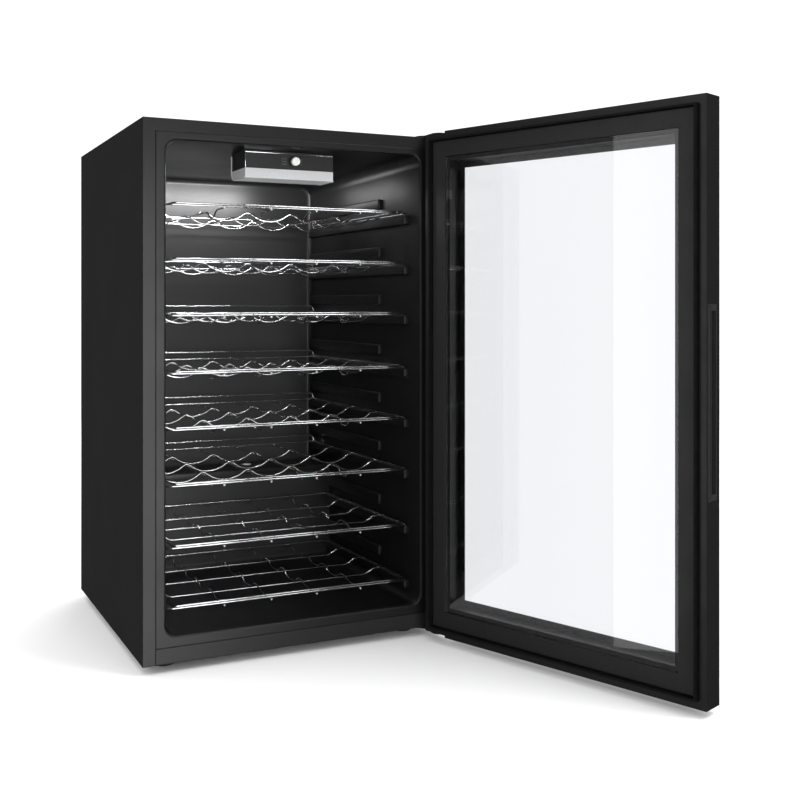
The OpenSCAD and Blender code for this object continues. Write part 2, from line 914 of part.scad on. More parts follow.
// Wavy wire: five cradles, each in two halves, and straight ends to the outer side wires
module wavy_wire(y) {
    zc = -crest_r;
    zv = -cradle_depth + valley_r;
    for (i = [-2:2]) {
        wire_arc(i * cradle_pitch, y, zv, valley_r, 270 - wave_a, 270 - split_a);
        wire_arc(i * cradle_pitch, y, zv, valley_r, 270 + split_a, 270 + wave_a);
    }
    for (i = [-1.5:1:1.5])
        wire_arc(i * cradle_pitch, y, zc, crest_r, 90 - wave_a, 90 + wave_a);
    both_sides() {
        wire_arc(crest_x, y, zc, crest_r, 90, 90 + wave_a);
        rod([crest_x, y, 0], [side_x, y, 0], wire_d);
    }
}

// Lower frame: front rail, side wires and back rail, with cut corners at the front
module lower_frame(y_back) {
    bend = 10;
    for (s = [-1, 1]) {
        rod([s * side_x, y_back, 0], [s * side_x, rail_y + bend, 0], wire_d);
        rod([s * side_x, rail_y + bend, 0], [s * (side_x - bend), rail_y, 0], wire_d);
        translate([s * side_x, rail_y + bend, 0]) sphere(d = wire_d);
        translate([s * (side_x - bend), rail_y, 0]) sphere(d = wire_d);
        translate([s * side_x, y_back, 0]) sphere(d = wire_d);
    }
    rod([-side_x + bend + part, rail_y, 0], [side_x - bend - part, rail_y, 0], wire_d);
    rod([-side_x + part, y_back, 0], [side_x - part, y_back, 0], wire_d);
}

// Upper frame: a second front rail bent back into the inner side wires
module upper_frame(y_back) {
    for (s = [-1, 1]) {
        rod([s * inner_x, y_back, high], [s * inner_x, rail_y, high], wire_d);
        translate([s * inner_x, rail_y, high]) sphere(d = wire_d);
    }
    rod([-inner_x, rail_y, high], [inner_x, rail_y, high], wire_d);
}

module wavy_shelf(z) {
    color(CHROME)
        translate([0, 0, z]) {
            for (y = wave_y) wavy_wire(y);
            lower_frame(back_y);
            upper_frame(back_y);
            rod([-side_x + 4, back_y, stop_h], [side_x - 4, back_y, stop_h], wire_d);
            for (s = [-1, 1])
                rod([s * (side_x - 7), back_y, 0], [s * (side_x - 7), back_y, stop_h], wire_d);
            for (i = [-1.5:1:1.5])
                strip_yz(i * cradle_pitch,
                         [[back_y - part, low], [-132, low], [-144, low - dip],
                          [-163, low - dip], [-177, low], [end_y, under]]);
        }
}

module straight_shelf(z) {
    color(CHROME)
        translate([0, 0, z]) {
            lower_frame(low_back);
            upper_frame(low_back);
            for (y = low_wires)
                strip_xz(y, [[-side_x, 0], [-187, 0], [-173, low_flat + low],
                             [173, low_flat + low], [187, 0], [side_x, 0]]);
            for (i = [-1.5:1:1.5])
                strip_yz(i * cradle_pitch,
                         concat([[end_y, low], [-176, low]],
                                [for (y = low_bumps, p = [[-24, low_flat], [-7, low_bump],
                                                          [7, low_bump], [24, low_flat]])
                                    if (y + p[0] > -165) [y + p[0], p[1]]],
                                [[low_back, low_flat]]));
        }
}

module shelf_1() { wavy_shelf(shelf_z[0]); }
module shelf_2() { wavy_shelf(shelf_z[1]); }
module shelf_3() { wavy_shelf(shelf_z[2]); }
module shelf_4() { wavy_shelf(shelf_z[3]); }
module shelf_5() { wavy_shelf(shelf_z[4]); }
module shelf_6() { wavy_shelf(shelf_z[5]); }
module shelf_7() { straight_shelf(shelf_z[6]); }
module shelf_8() { straight_shelf(shelf_z[7]); }

outer_shell();
rear_panel();
compressor_bay_panel();
base_pan();
front_bottom_rail();
inner_liner();
foam_insulation();
evaporator_plate();
drain_tube();
drip_tray();
control_housing();
control_fascia();
lamp_lens();
lamp_board();
thermostat_body();
knob_body();
knob_cap();
compressor();
compressor_plate();
compressor_grommets();
compressor_bolts();
relay_box();
condenser_coil();
condenser_wires();
condenser_brackets();
rear_screws();
filter_drier();
refrigerant_pipes();
cord_gland();
rear_feet();
foot_inserts();
front_foot_left();
front_foot_right();
hinge_bracket_top();
hinge_bracket_bottom();
hinge_pin_top();
hinge_pin_bottom();
hinge_screws();
door_frame();
door_inner_frame();
door_glass_outer();
door_glass_border();
door_glass_inner();
glass_spacer();
door_gasket();
door_grip_insert();
door_bushes();
shelf_1();
shelf_2();
shelf_3();
shelf_4();
shelf_5();
shelf_6();
shelf_7();
shelf_8();
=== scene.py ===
"""Visual model of a free-standing wine cooler with its glass door open, built around the CAD frame.

Metres throughout, in the CAD's own frame: origin on the floor under the middle of the cabinet,
+X to the right seen from the front, +Y to the back, +Z up.
"""

import math

import bmesh
import bpy
from mathutils import Matrix, Vector


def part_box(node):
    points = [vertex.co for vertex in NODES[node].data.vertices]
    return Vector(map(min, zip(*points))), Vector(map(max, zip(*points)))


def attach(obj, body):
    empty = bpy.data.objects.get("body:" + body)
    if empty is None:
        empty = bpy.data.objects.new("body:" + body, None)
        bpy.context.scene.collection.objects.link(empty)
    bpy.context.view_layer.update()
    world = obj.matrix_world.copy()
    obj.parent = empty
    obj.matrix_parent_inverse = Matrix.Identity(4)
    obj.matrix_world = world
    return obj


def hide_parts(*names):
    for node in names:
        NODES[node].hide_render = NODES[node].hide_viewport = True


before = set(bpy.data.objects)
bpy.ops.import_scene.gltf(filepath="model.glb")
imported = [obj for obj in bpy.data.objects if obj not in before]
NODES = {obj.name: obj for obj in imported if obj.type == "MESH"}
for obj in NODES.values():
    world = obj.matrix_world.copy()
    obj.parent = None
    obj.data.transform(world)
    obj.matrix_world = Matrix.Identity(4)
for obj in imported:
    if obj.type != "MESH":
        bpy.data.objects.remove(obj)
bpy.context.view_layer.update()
MM = 0.001

# ---------------------------------------------------------------- places read from the frame

SHELL_LO, SHELL_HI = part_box("outer_shell")
LINER_LO, LINER_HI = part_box("inner_liner")
FASCIA_LO, FASCIA_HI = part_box("control_fascia")
LENS_LO, LENS_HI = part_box("lamp_lens")
KNOB_LO, KNOB_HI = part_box("knob_body")
FASCIA_BACK = FASCIA_LO.y + 0.2 * MM  # how far what is on the fascia reaches into it
FRONT = SHELL_LO.y

# The liner's cavity: the opening, the walls behind its lip, and the walls at the back
OPEN_X = LINER_HI.x - 12.6 * MM
OPEN_Z = (LINER_LO.z + 12.8 * MM, LINER_HI.z - 8.4 * MM)
LIP = 3 * MM
LIP_ROUND = 4 * MM
LIP_DEPTH = 10 * MM
DRAFT = 4.5 * MM
WALL_BACK = LINER_HI.y - 2 * MM
CORNER_R = 20 * MM
BACK_FILLET = 9 * MM
STEP_FRONT = SHELL_HI.y - 113 * MM
STEP_TOP = 235 * MM

# The door, as it stands when shut, and the turn that opens it
PIN = Vector((234.5 * MM, -271 * MM, 0))
DOOR_OPEN = math.radians(110.15)
DOOR_LO, DOOR_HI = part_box("door_frame")
DOOR_X0, DOOR_X1 = SHELL_LO.x, SHELL_HI.x
DOOR_BACK = FRONT - 8 * MM
DOOR_FRONT = DOOR_BACK - 36 * MM
PANE_T = 4 * MM
PANE_INSET = 41.5 * MM
PANE_SETBACK = 2 * MM
SPACER_W = 7 * MM
BORDER_W = 58.5 * MM
BAND_T = 0.04 * MM

# Shelves: the wires' radii, the cradles, and the wires that run from front to back
WIRE_R = 1.5 * MM
THIN_R = 1.15 * MM
SIDE_R = 1.3 * MM
PITCH = 77 * MM
WAVE_DEPTH = 13.5 * MM
CREST_R = 12 * MM
SHELF_X = 205.5 * MM
INNER_X = 195 * MM
FRAME_CORNER = 12 * MM
RAIL_Y = FRONT + 30 * MM
ROW_Y = [-104 * MM, -6 * MM, 92 * MM]
LONG_WIRES = 4
LONG_FRONT = RAIL_Y - 5 * MM
UNDER = 2.7 * MM
STOP_RISE = 13 * MM
DIP = 11 * MM
LOW_DROP = 6.3 * MM
LOW_BUMP = 3.5 * MM
LOW_FIRST_Y = -145 * MM
LOW_PITCH = 81 * MM
WAVY = 6
WAVY_TOP = 14.5 * MM
STRAIGHT_TOP = 5 * MM
SHELVES = [f"shelf_{i}" for i in range(1, 9)]

# Strength of the white surroundings, straight or through the glass, and where they are mirrored
WHITE_SEEN = 1.2
WHITE_MIRRORED = 0.06

# ---------------------------------------------------------------- materials


def link(tree, source, target):
    tree.links.new(source, target)


def new_material(name, color, rough, metallic=0.0, specular=0.5):
    """A Principled material with its constant values set on the shader's own sockets."""
    mat = bpy.data.materials.new(name)
    mat.use_nodes = True
    bsdf = mat.node_tree.nodes["Principled BSDF"]
    bsdf.inputs["Base Color"].default_value = (*color, 1)
    bsdf.inputs["Roughness"].default_value = rough
    bsdf.inputs["Metallic"].default_value = metallic
    bsdf.inputs["Specular IOR Level"].default_value = specular
    return mat, mat.node_tree, bsdf


def noise(tree, scale, detail=3.0, stretch=(1, 1, 1)):
    """Noise in object coordinates, in features per metre, optionally drawn out along an axis."""
    coords = tree.nodes.new("ShaderNodeTexCoord")
    mapping = tree.nodes.new("ShaderNodeMapping")
    mapping.inputs["Scale"].default_value = stretch
    tex = tree.nodes.new("ShaderNodeTexNoise")
    tex.inputs["Scale"].default_value = scale
    tex.inputs["Detail"].default_value = detail
    link(tree, coords.outputs["Object"], mapping.inputs["Vector"])
    link(tree, mapping.outputs["Vector"], tex.inputs["Vector"])
    return tex.outputs["Fac"]


def remap(tree, value, low, high):
    """Stretches the middle of a noise's range to run from low to high."""
    node = tree.nodes.new("ShaderNodeMapRange")
    node.inputs["From Min"].default_value = 0.3
    node.inputs["From Max"].default_value = 0.7
    node.inputs["To Min"].default_value = low
    node.inputs["To Max"].default_value = high
    link(tree, value, node.inputs["Value"])
    return node.outputs["Result"]


def vary_color(tree, bsdf, value, color_a, color_b):
    mix = tree.nodes.new("ShaderNodeMix")
    mix.data_type = "RGBA"
    mix.inputs["A"].default_value = (*color_a, 1)
    mix.inputs["B"].default_value = (*color_b, 1)
    link(tree, remap(tree, value, 0, 1), mix.inputs["Factor"])
    link(tree, mix.outputs["Result"], bsdf.inputs["Base Color"])


def add_bump(tree, bsdf, value, strength, distance):
    bump = tree.nodes.new("ShaderNodeBump")
    bump.inputs["Strength"].default_value = strength
    bump.inputs["Distance"].default_value = distance
    link(tree, value, bump.inputs["Height"])
    link(tree, bump.outputs["Normal"], bsdf.inputs["Normal"])


def painted_steel(name, gray=0.011, rough=0.3, specular=0.25):
    """Baked enamel: faint orange peel and a slow drift in gloss."""
    mat, tree, bsdf = new_material(name, (gray, gray, gray * 1.05), rough, specular=specular)
    gloss = remap(tree, noise(tree, 9, 2), rough - 0.015, rough + 0.015)
    link(tree, gloss, bsdf.inputs["Roughness"])
    vary_color(tree, bsdf, noise(tree, 60, 5), (gray * 0.96,) * 3, (gray * 1.05,) * 3)
    add_bump(tree, bsdf, noise(tree, 900, 2), 0.06, 0.05 * MM)
    return mat


def moulded_plastic(name, color, rough, grain=0.25, specular=0.3):
    """Injection-moulded plastic with a fine pebbled grain and slightly uneven sheen."""
    mat, tree, bsdf = new_material(name, color, rough, specular=specular)
    gloss = remap(tree, noise(tree, 25, 3), rough - 0.03, rough + 0.05)
    link(tree, gloss, bsdf.inputs["Roughness"])
    vary_color(tree, bsdf, noise(tree, 180, 4), [c * 0.9 for c in color], [c * 1.1 for c in color])
    if grain:
        add_bump(tree, bsdf, noise(tree, 1600, 2), grain, 0.04 * MM)
    return mat


def gloss_liner(name):
    """Thermoformed liner: glossy, with the soft waviness of drawn sheet."""
    mat, tree, bsdf = new_material(name, (0.0065, 0.0065, 0.0068), 0.34, specular=0.35)
    link(tree, remap(tree, noise(tree, 9, 2), 0.33, 0.39), bsdf.inputs["Roughness"])
    vary_color(tree, bsdf, noise(tree, 220, 4), (0.006, 0.006, 0.0063), (0.007, 0.007, 0.0073))
    add_bump(tree, bsdf, noise(tree, 14, 1), 0.05, 0.5 * MM)
    return mat


def metal(name, color, rough, stretch=(1, 1, 1), scale=300, bump=0.08):
    """Bare or plated metal with fine marks, drawn out across the axes that stretch scales up."""
    mat, tree, bsdf = new_material(name, color, rough, metallic=1.0)
    marks = noise(tree, scale, 4, stretch)
    link(tree, remap(tree, marks, rough * 0.7, rough * 1.4), bsdf.inputs["Roughness"])
    vary_color(tree, bsdf, noise(tree, 40, 3), [c * 0.93 for c in color], color)
    add_bump(tree, bsdf, marks, bump, 0.03 * MM)
    return mat


def rubber(name, gray):
    """Soft rubber with a dull, uneven skin."""
    mat, tree, bsdf = new_material(name, (gray,) * 3, 0.62, specular=0.2)
    vary_color(tree, bsdf, noise(tree, 120, 5), (gray * 0.8,) * 3, (gray * 1.5,) * 3)
    add_bump(tree, bsdf, noise(tree, 1200, 3), 0.3, 0.05 * MM)
    return mat


def clear_glass(name):
    """Clear float glass with faint upright bands in its tint."""
    mat, tree, bsdf = new_material(name, (0.885, 0.888, 0.9), 0.0)
    bsdf.inputs["Transmission Weight"].default_value = 1.0
    bsdf.inputs["IOR"].default_value = 1.48
    bands = noise(tree, 6, 2, (1, 1, 0.05))
    vary_color(tree, bsdf, bands, (0.897, 0.9, 0.905), (0.873, 0.88, 0.897))
    link(tree, remap(tree, noise(tree, 40, 3), 0.0, 0.004), bsdf.inputs["Roughness"])
    return mat


def lit_lens(name):
    """Frosted, silvery lamp cover with the light behind it."""
    mat, tree, bsdf = new_material(name, (0.38, 0.385, 0.395), 0.32)
    bsdf.inputs["Emission Color"].default_value = (1.0, 1.0, 1.0, 1)
    bsdf.inputs["Emission Strength"].default_value = 0.12
    flow = noise(tree, 300, 4, (1, 1, 4))
    vary_color(tree, bsdf, flow, (0.34, 0.345, 0.355), (0.42, 0.425, 0.435))
    add_bump(tree, bsdf, noise(tree, 1500, 2), 0.15, 0.04 * MM)
    return mat


def insulation(name):
    """Foamed insulation, pale yellow and pitted."""
    mat, tree, bsdf = new_material(name, (0.72, 0.62, 0.38), 0.9)
    vary_color(tree, bsdf, noise(tree, 500, 6), (0.62, 0.52, 0.3), (0.8, 0.7, 0.46))
    add_bump(tree, bsdf, noise(tree, 700, 5), 0.6, 0.4 * MM)
    return mat


MATERIALS = {
    "shell": painted_steel("black_enamel"),
    "rear": painted_steel("rear_enamel", 0.014, 0.5),
    "rail": painted_steel("rail_enamel", 0.016, 0.34),
    "liner": gloss_liner("liner_gloss"),
    "casing": moulded_plastic("door_casing_plastic", (0.008, 0.008, 0.0083), 0.36, 0.12),
    "inner_frame": moulded_plastic("door_inner_plastic", (0.0115, 0.0115, 0.0118), 0.4, 0.12),
    "dark": moulded_plastic("dark_plastic", (0.02, 0.02, 0.021), 0.45),
    "fascia": moulded_plastic("fascia_gloss", (0.024, 0.024, 0.0247), 0.3, 0.06),
    "smoke": moulded_plastic("smoked_plastic", (0.05, 0.05, 0.052), 0.22, 0.04, specular=0.5),
    "mark": moulded_plastic("printed_marks", (0.3, 0.3, 0.3), 0.5, 0.05),
    "bright": metal("bright_trim", (0.7, 0.71, 0.73), 0.16),
    "white": moulded_plastic("white_plastic", (0.78, 0.78, 0.76), 0.35, 0.1),
    "lens": lit_lens("lamp_lens_silver"),
    "print": moulded_plastic("black_print", (0.004, 0.004, 0.0045), 0.3, 0.0),
    # the seal's rubber is about four times darker than the other black rubber: painted shade for
    # the dark groove round the door's rim
    "gasket": rubber("seal_rubber_painted_shade", 0.003),
    "rubber": rubber("black_rubber", 0.012),
    "chrome": metal("chrome_wire", (0.64, 0.645, 0.655), 0.15, (1, 1, 1), 500, 0.05),
    # paler than the chrome wire: the cut ends are real, their brightness a painted highlight that
    # shows them as bright dots
    "cut_end_highlight": metal("cut_wire_highlight", (0.85, 0.855, 0.865), 0.5, (1, 1, 1), 900, 0.03),
    "zinc": metal("zinc_plate", (0.6, 0.62, 0.64), 0.34, (1, 8, 1), 200),
    "aluminium": metal("rolled_aluminium", (0.75, 0.76, 0.77), 0.3, (8, 1, 1), 200),
    "copper": metal("copper_tube", (0.72, 0.36, 0.2), 0.3, (1, 1, 1), 250),
    "enamel": painted_steel("gloss_enamel", 0.008, 0.24),
    "glass": clear_glass("clear_glass"),
    "foam": insulation("insulation_foam"),
    "board": moulded_plastic("lamp_board_green", (0.02, 0.14, 0.05), 0.4, 0.1),
}

NODE_MATERIALS = {
    "shell": ["outer_shell", "hinge_bracket_top", "hinge_bracket_bottom"],
    "rear": ["rear_panel", "compressor_bay_panel", "base_pan"],
    "rail": ["front_bottom_rail"],
    "liner": ["inner_liner"],
    "casing": ["door_frame"],
    "inner_frame": ["door_inner_frame"],
    "smoke": ["control_housing"],
    "dark": ["drip_tray", "knob_body", "relay_box", "condenser_brackets",
             "rear_feet", "front_foot_left", "front_foot_right", "door_grip_insert"],
    "fascia": ["control_fascia"],
    "white": ["drain_tube", "knob_cap", "door_bushes"],
    "lens": ["lamp_lens"],
    "print": ["door_glass_border", "glass_spacer"],
    "gasket": ["door_gasket"],
    "rubber": ["compressor_grommets", "cord_gland"],
    "chrome": SHELVES,
    "zinc": ["thermostat_body", "compressor_plate", "compressor_bolts", "rear_screws",
             "foot_inserts", "hinge_pin_top", "hinge_pin_bottom", "hinge_screws"],
    "aluminium": ["evaporator_plate"],
    "copper": ["filter_drier", "refrigerant_pipes"],
    "enamel": ["compressor", "condenser_coil", "condenser_wires"],
    "glass": ["door_glass_outer", "door_glass_inner"],
    "foam": ["foam_insulation"],
    "board": ["lamp_board"],
}


def paint(obj, key):
    obj.data.materials.clear()
    obj.data.materials.append(MATERIALS[key])


def paint_nodes():
    for key, nodes in NODE_MATERIALS.items():
        for node in nodes:
            paint(NODES[node], key)


# ---------------------------------------------------------------- mesh helpers


def object_from(name, bm, key, body):
    """Makes an object of a bmesh, smooth-shaded with sharp edges kept, riding on a body."""
    bmesh.ops.recalc_face_normals(bm, faces=bm.faces)
    for face in bm.faces:
        face.smooth = True
    sharp = math.radians(35)
    for edge in bm.edges:
        edge.smooth = len(edge.link_faces) == 2 and edge.calc_face_angle() < sharp
    mesh = bpy.data.meshes.new(name)
    bm.to_mesh(mesh)
    bm.free()
    obj = bpy.data.objects.new(name, mesh)
    bpy.context.scene.collection.objects.link(obj)
    paint(obj, key)
    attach(obj, body)
    return obj


def add_block(bm, lo, hi, bevel=0.0, segments=2):
    """A box, with rounded edges if bevel says so, added to bm."""
    verts = bmesh.ops.create_cube(bm, size=1.0)["verts"]
    bmesh.ops.scale(bm, vec=Vector(hi) - Vector(lo), verts=verts)
    bmesh.ops.translate(bm, vec=(Vector(lo) + Vector(hi)) / 2, verts=verts)
    if bevel:
        edges = list({e for v in verts for e in v.link_edges})
        bmesh.ops.bevel(bm, geom=edges, offset=bevel, segments=segments, profile=0.5,
                        affect="EDGES", clamp_overlap=True)


def rounded_ring(bm, half_x, z0, z1, radius, y, segments=14):
    """Vertices of a rounded rectangle standing across the cabinet at y."""
    ring = []
    corners = [(half_x - radius, z1 - radius, 0), (-half_x + radius, z1 - radius, 90),
               (-half_x + radius, z0 + radius, 180), (half_x - radius, z0 + radius, 270)]
    for cx, cz, start in corners:
        for i in range(segments + 1):
            a = math.radians(start + 90 * i / segments)
            ring.append(bm.verts.new((cx + radius * math.cos(a), y, cz + radius * math.sin(a))))
    return ring


def bridge(bm, ring_a, ring_b):
    """Faces between two closed rings of equally many vertices."""
    n = len(ring_a)
    for i in range(n):
        j = (i + 1) % n
        bm.faces.new((ring_a[i], ring_a[j], ring_b[j], ring_b[i]))


# Radius of the rounded edges of CAD nodes
EDGES = {
    "outer_shell": 0.8 * MM,
    "door_frame": 0.6 * MM,
    "door_inner_frame": 0.5 * MM,
    "control_fascia": 0.5 * MM,
    "front_bottom_rail": 0.4 * MM,
    "hinge_bracket_top": 0.3 * MM,
    "hinge_bracket_bottom": 0.3 * MM,
}


def soften(node, width):
    """Rounds a CAD node's edges with modifiers, leaving its mesh as it is."""
    obj = NODES[node]
    weld = obj.modifiers.new("weld", "WELD")
    weld.merge_threshold = 0.01 * MM
    bevel = obj.modifiers.new("soft_edges", "BEVEL")
    bevel.width = width
    bevel.segments = 2
    bevel.limit_method = "ANGLE"
    bevel.angle_limit = math.radians(50)
    bevel.harden_normals = True


# ---------------------------------------------------------------- wires


def arc(cx, cz, radius, start, end, steps):
    """Points on an arc in an XZ plane, as (x, z) pairs."""
    return [(cx + radius * math.cos(math.radians(start + (end - start) * i / steps)),
             cz + radius * math.sin(math.radians(start + (end - start) * i / steps)))
            for i in range(steps + 1)]


def rounded_path(points, radius, steps=6):
    """The same path with each inner corner replaced by an arc-like curve."""
    points = [Vector(p) for p in points]
    path = [points[0]]
    for before, corner, after in zip(points, points[1:], points[2:]):
        reach = min(radius, (before - corner).length / 2, (after - corner).length / 2)
        start = corner + (before - corner).normalized() * reach
        end = corner + (after - corner).normalized() * reach
        for i in range(steps + 1):
            t = i / steps
            path.append(start * (1 - t) ** 2 + corner * 2 * t * (1 - t) + end * t * t)
    path.append(points[-1])
    return path


def wire_curve(name, wires, key, body):
    """One curve object of several round wires, each a (points, radius) pair."""
    curve = bpy.data.curves.new(name, "CURVE")
    curve.dimensions = "3D"
    curve.bevel_depth = 1.0
    curve.bevel_resolution = 4
    curve.use_fill_caps = True
    for points, radius in wires:
        spline = curve.splines.new("POLY")
        spline.points.add(len(points) - 1)
        for target, point in zip(spline.points, points):
            target.co = (*point, 1)
            target.radius = radius
        spline.use_smooth = True
    obj = bpy.data.objects.new(name, curve)
    bpy.context.scene.collection.objects.link(obj)
    paint(obj, key)
    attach(obj, body)
    return obj


def wave_row(y, z):
    """One wavy wire: cradles as long arcs, crests as short ones, straight ends at the sides."""
    angle = 2 * math.degrees(math.atan(2 * WAVE_DEPTH / PITCH))
    valley_r = PITCH / 2 / math.sin(math.radians(angle)) - CREST_R
    flat = [(-SHELF_X, 0.0)]
    cradles = 5
    for i in range(cradles + 1):
        x = (i - cradles / 2) * PITCH
        first = 90 if i == 0 else 90 + angle
        last = 90 if i == cradles else 90 - angle
        flat += arc(x, -CREST_R, CREST_R, first, last, 6)
        if i < cradles:
            flat += arc(x + PITCH / 2, valley_r - WAVE_DEPTH, valley_r,
                        270 - angle, 270 + angle, 14)[1:-1]
    flat.append((SHELF_X, 0.0))
    return [(x, y, z + dz) for x, dz in flat]


def long_wire_x(i):
    """Place across the shelf of one of the wires that run from front to back."""
    return (i - (LONG_WIRES - 1) / 2) * PITCH


def shelf_level(node, i):
    """Height of a shelf's main frame, measured down from its highest wire."""
    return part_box(node)[1].z - (WAVY_TOP if i < WAVY else STRAIGHT_TOP)


def frame_wires(y_back, z):
    """Lower frame with its rounded front corners, upper frame, and the back rail."""
    low = [(-SHELF_X, y_back, z), (-SHELF_X, RAIL_Y, z), (SHELF_X, RAIL_Y, z), (SHELF_X, y_back, z)]
    high_z, high_y = z + 2 * WIRE_R, RAIL_Y + 1 * MM
    high = [(-INNER_X, y_back, high_z), (-INNER_X, high_y, high_z),
            (INNER_X, high_y, high_z), (INNER_X, y_back, high_z)]
    back = [(-SHELF_X, y_back, z), (SHELF_X, y_back, z)]
    return [(rounded_path(low, FRAME_CORNER), SIDE_R), (rounded_path(high, 7 * MM), THIN_R),
            (back, THIN_R)]


def wavy_shelf(y_back, z):
    """Three wavy wires in a frame, a stop along the back, and long wires with a dip in front."""
    wires = [(wave_row(y, z), THIN_R) for y in ROW_Y] + frame_wires(y_back, z)
    foot_x = SHELF_X - 4 * MM
    top_x = foot_x - 4 * MM
    stop = [(-foot_x, y_back, z), (-top_x, y_back, z + STOP_RISE),
            (top_x, y_back, z + STOP_RISE), (foot_x, y_back, z)]
    wires.append((rounded_path(stop, 6 * MM), THIN_R))
    under = z - UNDER
    for i in range(LONG_WIRES):
        x = long_wire_x(i)
        run = [(x, y_back, under), (x, -130 * MM, under), (x, -144 * MM, under - DIP),
               (x, -163 * MM, under - DIP), (x, -178 * MM, under), (x, LONG_FRONT, under)]
        wires.append((rounded_path(run, 6 * MM), THIN_R))
    return wires


def straight_shelf(y_back, z):
    """A flat grille whose rows hang a little below the frame, and long wires with low humps."""
    wires = frame_wires(y_back, z)
    under = z - UNDER
    bend_x, row_x = 187 * MM, 173 * MM
    for i in range(3):
        y = LOW_FIRST_Y + 28 * MM + i * LOW_PITCH
        row = [(-SHELF_X, y, z), (-bend_x, y, z), (-row_x, y, under - LOW_DROP),
               (row_x, y, under - LOW_DROP), (bend_x, y, z), (SHELF_X, y, z)]
        wires.append((rounded_path(row, 5 * MM), THIN_R))
    hump = [(-24 * MM, -LOW_DROP), (-7 * MM, LOW_BUMP), (7 * MM, LOW_BUMP), (24 * MM, -LOW_DROP)]
    for i in range(LONG_WIRES):
        x = long_wire_x(i)
        run = [(x, LONG_FRONT, under), (x, -176 * MM, under)]
        for j in range(4):
            # the first hump has no front slope: it follows on from the straight start
            for dy, dz in hump[1:] if j == 0 else hump:
                run.append((x, LOW_FIRST_Y + j * LOW_PITCH + dy, z + dz))
        run.append((x, y_back, z - LOW_DROP))
        wires.append((rounded_path(run, 6 * MM), THIN_R))
    return wires


def make_wire_ends(node, z):
    """Cut and flattened front ends of a shelf's long wires, in a paler metal than the wire as a
    painted highlight that shows them as bright dots.
    """
    bm = bmesh.new()
    facing = Matrix.Rotation(math.radians(90), 4, "X")
    for i in range(LONG_WIRES):
        place = Vector((long_wire_x(i), LONG_FRONT - 0.1 * MM, z - UNDER))
        bmesh.ops.create_cone(bm, cap_ends=True, segments=16, radius1=1.6 * MM, radius2=1.35 * MM,
                              depth=0.8 * MM, matrix=Matrix.Translation(place) @ facing)
    object_from(f"{node}_wire_ends", bm, "cut_end_highlight", f"{node}_body")


def make_shelves():
    for i, node in enumerate(SHELVES):
        z = shelf_level(node, i)
        y_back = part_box(node)[1].y - WIRE_R
        wires = wavy_shelf(y_back, z) if i < WAVY else straight_shelf(y_back, z)
        piece = wire_curve(f"{node}_wires", wires, "chrome", f"{node}_body")
        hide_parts(node)
        make_wire_ends(node, z)


# ---------------------------------------------------------------- liner


def make_liner():
    """Liner as one lofted sheet: front frame, rounded lip, drafted walls, filleted back."""
    bm = bmesh.new()
    z0, z1 = OPEN_Z
    # the frame's outer edge tucked in behind the shell's flange, as (outward, back) in mm
    tuck = [(3.0, 1.6), (0.2, 1.6), (0.0, 1.4), (0.0, 0.3), (-0.1, 0.1), (-0.3, 0.0), (-0.8, 0.0)]
    rings = [rounded_ring(bm, LINER_HI.x + out * MM, LINER_LO.z - out * MM,
                          LINER_HI.z + out * MM, 1.0 * MM, FRONT + depth * MM)
             for out, depth in tuck]
    rings.append(rounded_ring(bm, OPEN_X + 1.2 * MM, z0 - 1.2 * MM, z1 + 1.2 * MM, CORNER_R, FRONT))
    lip_steps = 6
    for i in range(lip_steps + 1):
        a = math.radians(90 * i / lip_steps)
        inset = LIP * math.sin(a)
        depth = LIP_ROUND * (1 - math.cos(a))
        rings.append(rounded_ring(bm, OPEN_X - inset + 0.3 * MM, z0 + inset - 0.3 * MM,
                                  z1 - inset + 0.3 * MM, CORNER_R, FRONT + depth))
    back_x = OPEN_X - LIP - DRAFT
    back_z0, back_z1 = z0 + LIP + DRAFT, z1 - LIP - DRAFT
    fillet_y = WALL_BACK - BACK_FILLET
    wider = 4 * MM  # growth of the corners' radius towards the back
    for t in [0.0, 0.33, 0.66, 1.0]:
        y = FRONT + LIP_DEPTH + (fillet_y - FRONT - LIP_DEPTH) * t
        rings.append(rounded_ring(bm, OPEN_X - LIP - DRAFT * t, z0 + LIP + DRAFT * t,
                                  z1 - LIP - DRAFT * t, CORNER_R + wider * t, y))
    fillet_steps = 8
    for i in range(1, fillet_steps + 1):
        a = math.radians(90 * i / fillet_steps)
        inset = BACK_FILLET * (1 - math.cos(a))
        rings.append(rounded_ring(bm, back_x - inset, back_z0 + inset, back_z1 - inset,
                                  CORNER_R + wider - inset,
                                  fillet_y + BACK_FILLET * math.sin(a)))
    for ring_a, ring_b in zip(rings, rings[1:]):
        bridge(bm, ring_a, ring_b)
    bm.faces.new(rings[-1])
    liner = object_from("liner_shell", bm, "liner", "cabinet")
    thick = liner.modifiers.new("thickness", "SOLIDIFY")
    thick.thickness = 1.6 * MM
    thick.offset = -1
    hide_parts("inner_liner")


def make_step():
    """The moulded step over the compressor, rounded on top and filleted to the floor."""
    bm = bmesh.new()
    half = OPEN_X - LIP - 1 * MM
    top_r, foot_r = 16 * MM, 12 * MM
    floor = OPEN_Z[0] + LIP + 1 * MM
    outline = [(WALL_BACK, floor - 2 * MM), (STEP_FRONT - foot_r, floor - 2 * MM)]
    for y, z in arc(STEP_FRONT - foot_r, floor + foot_r, foot_r, 270, 360, 8):
        outline.append((y, z))
    for y, z in arc(STEP_FRONT + top_r, STEP_TOP - top_r, top_r, 180, 90, 10):
        outline.append((y, z))
    outline.append((WALL_BACK, STEP_TOP))
    left = [bm.verts.new((-half, y, z)) for y, z in outline]
    right = [bm.verts.new((half, y, z)) for y, z in outline]
    bridge(bm, left, right)
    bm.faces.new(left)
    bm.faces.new(list(reversed(right)))
    object_from("liner_step", bm, "liner", "cabinet")


